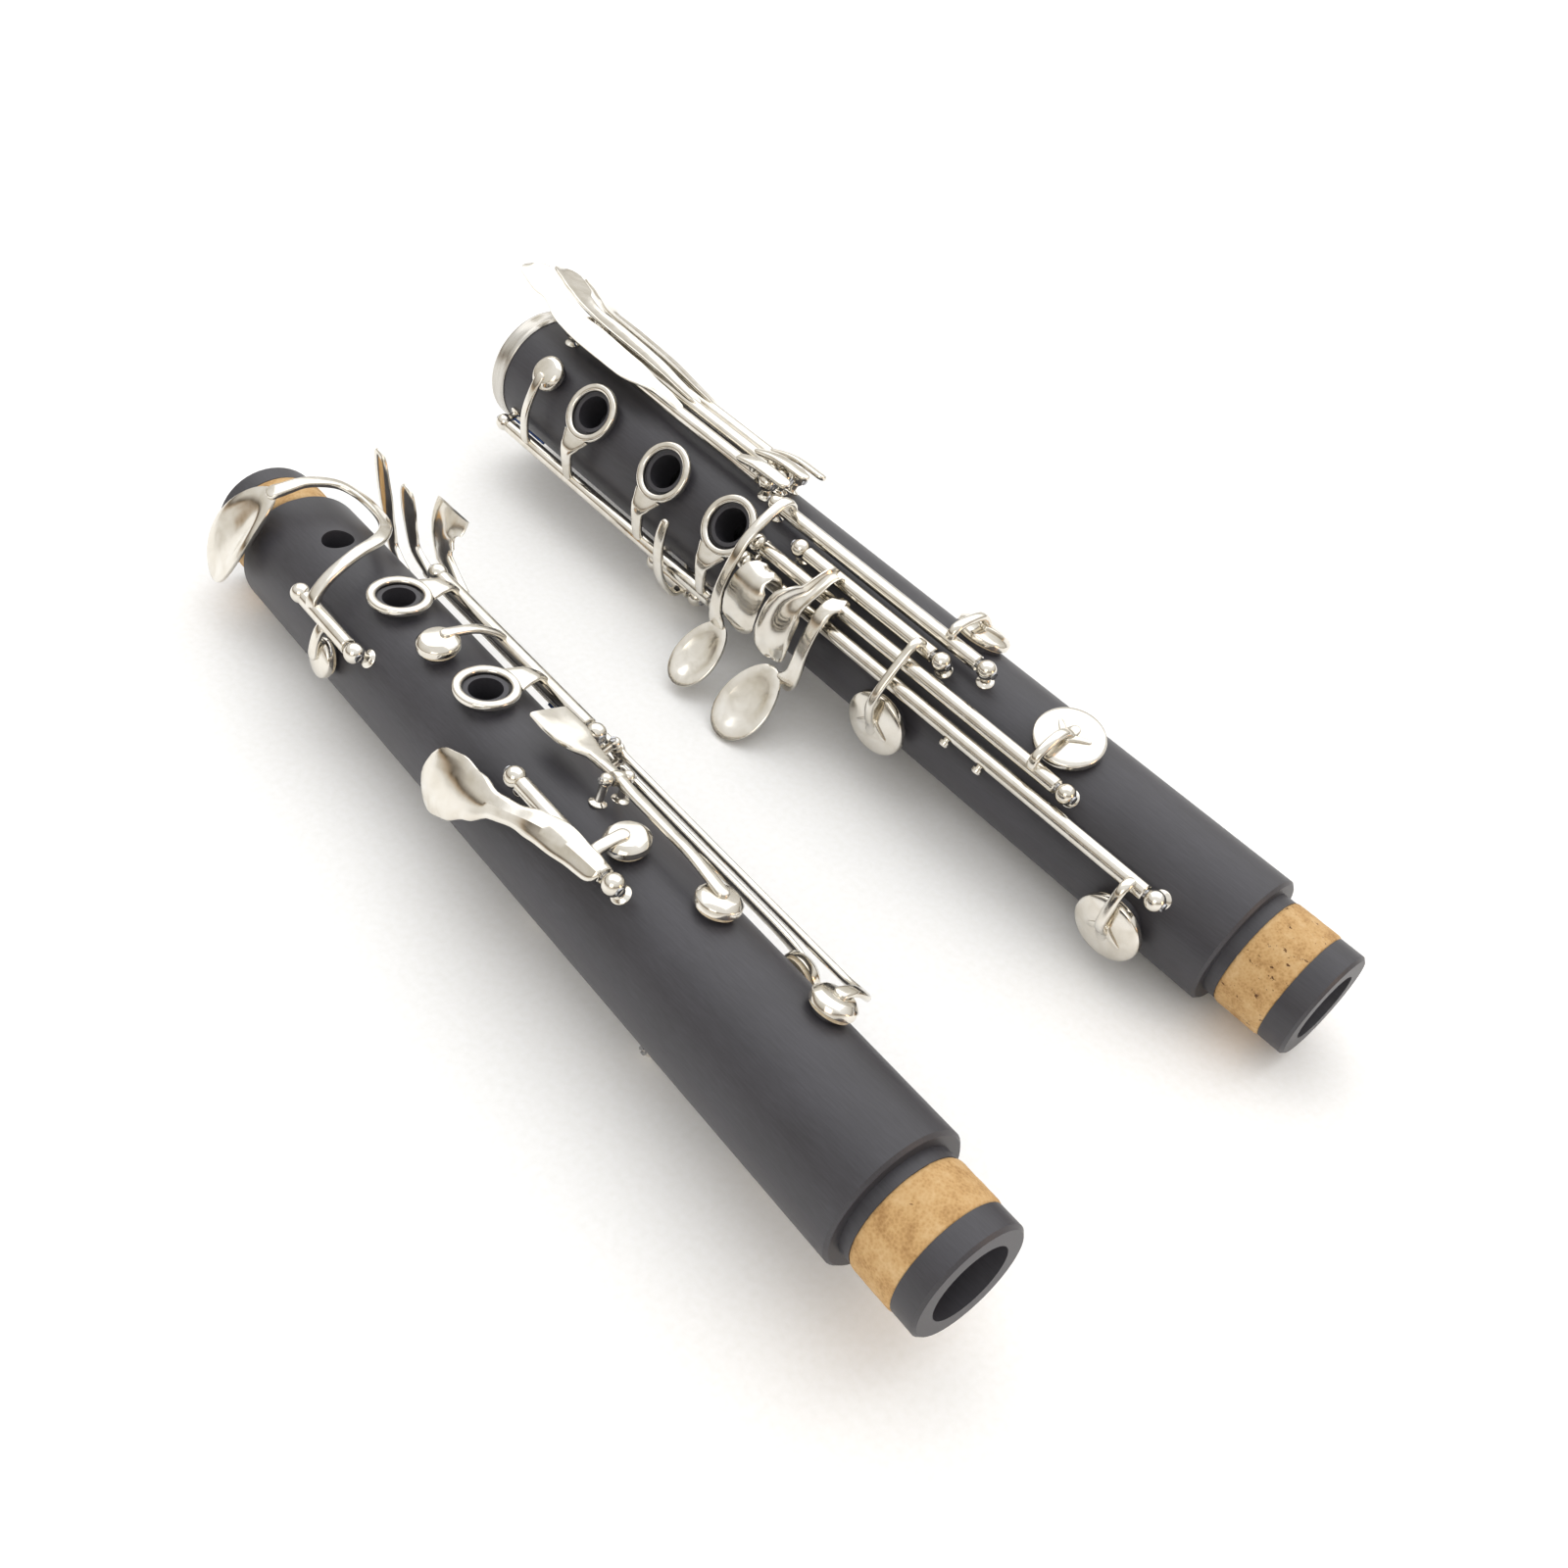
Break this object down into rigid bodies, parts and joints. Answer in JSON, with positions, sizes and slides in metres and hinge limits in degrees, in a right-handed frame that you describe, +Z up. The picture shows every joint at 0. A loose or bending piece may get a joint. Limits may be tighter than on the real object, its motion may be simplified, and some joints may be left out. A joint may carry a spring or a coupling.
{
  "type": "clarinet, upper and lower joint",
  "caption": "Upper and lower joint of a Boehm clarinet laid side by side, with sprung keys, finger rings, pads, hinge rods and corked tenons.",
  "frame": {"origin": "centre of the lower joint's socket mouth, which takes the upper joint's middle tenon", "axes": "+X along the lower joint towards its bell tenon, +Z up from the surface that both joints lie on, +Y from the upper joint towards the lower"},
  "size_m": [0.2524, 0.1332, 0.0473],
  "materials": {
    "body": "matt",
    "keywork": "polished nickel plate",
    "rods": "turned",
    "springs": "blued",
    "cork": "matt",
    "pads": "matt",
    "bush": "satin"
  },
  "bodies": {
    "lower_joint": {"lower_body": "body", "socket_ring": "keywork", "bell_tenon_cork": "cork", "lower_posts": "keywork", "lower_rods": "rods", "lower_springs": "springs", "thumb_rest": "keywork", "thumb_rest_screws": "rods"},
    "upper_joint": {"upper_body": "body", "barrel_tenon_cork": "cork", "middle_tenon_cork": "cork", "upper_posts": "keywork", "upper_rods": "rods", "upper_springs": "springs", "thumb_bush": "bush"},
    "upper_ring_key": {"upper_ring_key": "keywork", "upper_ring_vent_pad": "pads"},
    "thumb_ring_key": {"thumb_ring_key": "keywork"},
    "csharp_key": {"csharp_key": "keywork", "csharp_pad": "pads"},
    "gsharp_key": {"gsharp_key": "keywork", "gsharp_pad": "pads"},
    "a_key": {"a_key": "keywork", "a_pad": "pads"},
    "register_key": {"register_key": "keywork", "register_pad": "pads"},
    "trill_key_1": {"trill_key_1": "keywork", "trill_pad_1": "pads"},
    "trill_key_2": {"trill_key_2": "keywork", "trill_pad_2": "pads"},
    "side_key_3": {"side_key_3": "keywork", "side_pad_3": "pads"},
    "side_key_4": {"side_key_4": "keywork", "side_pad_4": "pads"},
    "lower_ring_key": {"lower_ring_key": "keywork", "lower_ring_vent_pad": "pads"},
    "sliver_key": {"sliver_key": "keywork", "sliver_pad": "pads"},
    "e_key": {"e_key": "keywork", "e_pad": "pads"},
    "ab_key": {"ab_key": "keywork", "ab_pad": "pads"},
    "f_key": {"f_key": "keywork", "f_pad": "pads"},
    "fsharp_key": {"fsharp_key": "keywork", "fsharp_pad": "pads"},
    "e_lever": {"e_lever": "keywork"},
    "f_lever": {"f_lever": "keywork"},
    "fsharp_lever": {"fsharp_lever": "keywork"}
  },
  "joints": [
    {"name": "upper_joint_lift", "type": "slide", "parent": "lower_joint", "child": "upper_joint", "axis": [0, 0, 1], "range_m": [0, 0.08]},
    {"name": "upper_ring_hinge", "type": "hinge", "parent": "upper_joint", "child": "upper_ring_key", "pos_m": [0.09589, -0.07586, 0.00515], "axis": [-0.9969, 0.0697, -0.0363], "range_deg": [-3, 0], "stiffness_Nm_per_rad": 0.02, "springref_deg": 2.86},
    {"name": "thumb_ring_hinge", "type": "hinge", "parent": "upper_joint", "child": "thumb_ring_key", "pos_m": [0.13746, -0.08222, -0.01924], "axis": [-0.9969, 0.0697, -0.0363], "range_deg": [0, 3], "stiffness_Nm_per_rad": 0.02, "springref_deg": -2.86},
    {"name": "csharp_hinge", "type": "hinge", "parent": "upper_joint", "child": "csharp_key", "pos_m": [0.06914, -0.10047, 0.00378], "axis": [-0.9969, 0.0697, -0.0363], "range_deg": [0, 8], "stiffness_Nm_per_rad": 0.02, "springref_deg": -2.86},
    {"name": "gsharp_hinge", "type": "hinge", "parent": "upper_joint", "child": "gsharp_key", "pos_m": [0.14511, -0.10058, 0.01074], "axis": [-0.9969, 0.0697, -0.0363], "range_deg": [-9, 0], "stiffness_Nm_per_rad": 0.02, "springref_deg": 2.86},
    {"name": "a_pivot", "type": "hinge", "parent": "upper_joint", "child": "a_key", "pos_m": [0.142, -0.0867, 0.01283], "axis": [-0.0773, -0.9532, 0.2922], "range_deg": [0, 4], "stiffness_Nm_per_rad": 0.02, "springref_deg": -2.86},
    {"name": "register_pivot", "type": "hinge", "parent": "upper_joint", "child": "register_key", "pos_m": [0.17277, -0.09428, -0.02048], "axis": [0.0698, 0.9976, 0], "range_deg": [0, 3], "stiffness_Nm_per_rad": 0.02, "springref_deg": -2.86},
    {"name": "trill_key_1_pivot", "type": "hinge", "parent": "upper_joint", "child": "trill_key_1", "pos_m": [0.12725, -0.0739, 0.00149], "axis": [-0.0597, -0.3713, 0.9266], "range_deg": [0, 2], "stiffness_Nm_per_rad": 0.02, "springref_deg": -2.86},
    {"name": "trill_key_2_pivot", "type": "hinge", "parent": "upper_joint", "child": "trill_key_2", "pos_m": [0.11957, -0.07206, -0.00443], "axis": [-0.041, -0.0671, 0.9969], "range_deg": [0, 2.2], "stiffness_Nm_per_rad": 0.02, "springref_deg": -2.86},
    {"name": "side_key_3_pivot", "type": "hinge", "parent": "upper_joint", "child": "side_key_3", "pos_m": [0.11177, -0.07202, -0.01048], "axis": [-0.0183, 0.2438, 0.9697], "range_deg": [0, 2.4], "stiffness_Nm_per_rad": 0.02, "springref_deg": -2.86},
    {"name": "side_key_4_pivot", "type": "hinge", "parent": "upper_joint", "child": "side_key_4", "pos_m": [0.10383, -0.07373, -0.0161], "axis": [0.0062, 0.5308, 0.8475], "range_deg": [0, 3], "stiffness_Nm_per_rad": 0.02, "springref_deg": -2.86},
    {"name": "lower_ring_hinge", "type": "hinge", "parent": "lower_joint", "child": "lower_ring_key", "pos_m": [0.05073, -0.01699, -0.00837], "axis": [0.9993, 0, -0.0364], "range_deg": [-3, 0], "stiffness_Nm_per_rad": 0.02, "springref_deg": 2.86},
    {"name": "sliver_hinge", "type": "hinge", "parent": "lower_joint", "child": "sliver_key", "pos_m": [0.07192, -0.01183, -0.01724], "axis": [0.9993, 0, -0.0364], "range_deg": [-5, 0], "stiffness_Nm_per_rad": 0.02, "springref_deg": 2.86},
    {"name": "e_hinge", "type": "hinge", "parent": "lower_joint", "child": "e_key", "pos_m": [0.15472, -0.01592, 0.0032], "axis": [0.9993, 0, -0.0364], "range_deg": [0, 7], "stiffness_Nm_per_rad": 0.02, "springref_deg": -2.86},
    {"name": "f_hinge", "type": "hinge", "parent": "lower_joint", "child": "f_key", "pos_m": [0.12748, -0.00937, 0.01097], "axis": [0.9993, 0, -0.0364], "range_deg": [0, 5], "stiffness_Nm_per_rad": 0.02, "springref_deg": -2.86},
    {"name": "ab_hinge", "type": "hinge", "parent": "lower_joint", "child": "ab_key", "pos_m": [0.14187, -0.01309, 0.00749], "axis": [0.9993, 0, -0.0364], "range_deg": [0, 5], "stiffness_Nm_per_rad": 0.02, "springref_deg": -2.86},
    {"name": "fsharp_hinge", "type": "hinge", "parent": "lower_joint", "child": "fsharp_key", "pos_m": [0.12505, -0.00502, 0.01296], "axis": [0.9993, 0, -0.0364], "range_deg": [0, 5], "stiffness_Nm_per_rad": 0.02, "springref_deg": -2.86},
    {"name": "e_lever_hinge", "type": "hinge", "parent": "lower_joint", "child": "e_lever", "pos_m": [0.05112, -0.00222, 0.01622], "axis": [0.9993, 0, -0.0364], "range_deg": [-5, 0]},
    {"name": "f_lever_hinge", "type": "hinge", "parent": "lower_joint", "child": "f_lever", "pos_m": [0.05112, 0.00285, 0.01613], "axis": [0.9993, 0, -0.0364], "range_deg": [-5, 0]},
    {"name": "fsharp_lever_hinge", "type": "hinge", "parent": "lower_joint", "child": "fsharp_lever", "pos_m": [0.05107, 0.00769, 0.01465], "axis": [0.9993, 0, -0.0364], "range_deg": [-5, 0]}
  ],
  "couplings": [
    {"joint": "e_lever_hinge", "follows": "e_hinge", "ratio": -0.7},
    {"joint": "f_lever_hinge", "follows": "f_hinge", "ratio": -1},
    {"joint": "fsharp_lever_hinge", "follows": "fsharp_hinge", "ratio": -1}
  ]
}
